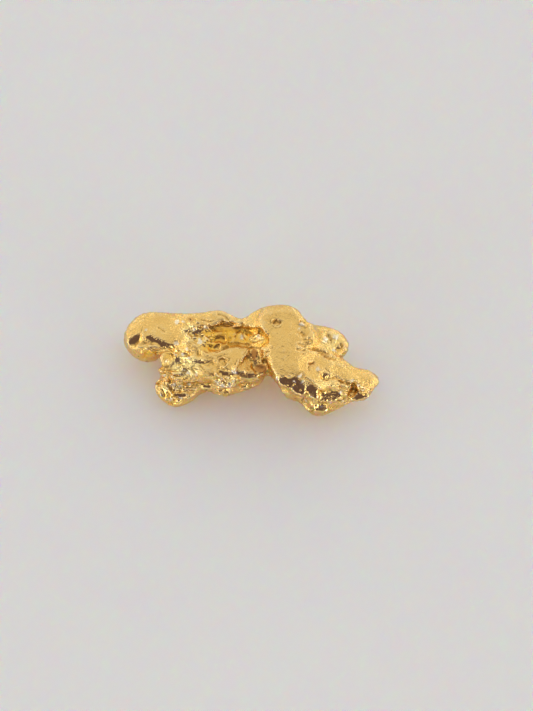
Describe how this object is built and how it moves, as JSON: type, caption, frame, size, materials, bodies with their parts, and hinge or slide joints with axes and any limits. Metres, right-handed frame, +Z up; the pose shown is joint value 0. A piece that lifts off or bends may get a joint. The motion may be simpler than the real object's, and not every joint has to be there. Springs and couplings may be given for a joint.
{
  "type": "gold nugget",
  "caption": "Natural lump of native gold: knobbly lobes around a long hollow, pitted and creased, lying on worn feet; a mineral specimen.",
  "frame": {"origin": "middle of the nugget's box, at the level of the feet it lies on", "axes": "+X along the nugget to its pointed end, +Z up; the side with the long hollow faces up and towards -Y"},
  "size_m": [0.013, 0.0054, 0.0037],
  "materials": {
    "native_gold": "satin, naturally worn"
  },
  "bodies": {
    "root": {"nugget": "native_gold"}
  },
  "joints": []
}
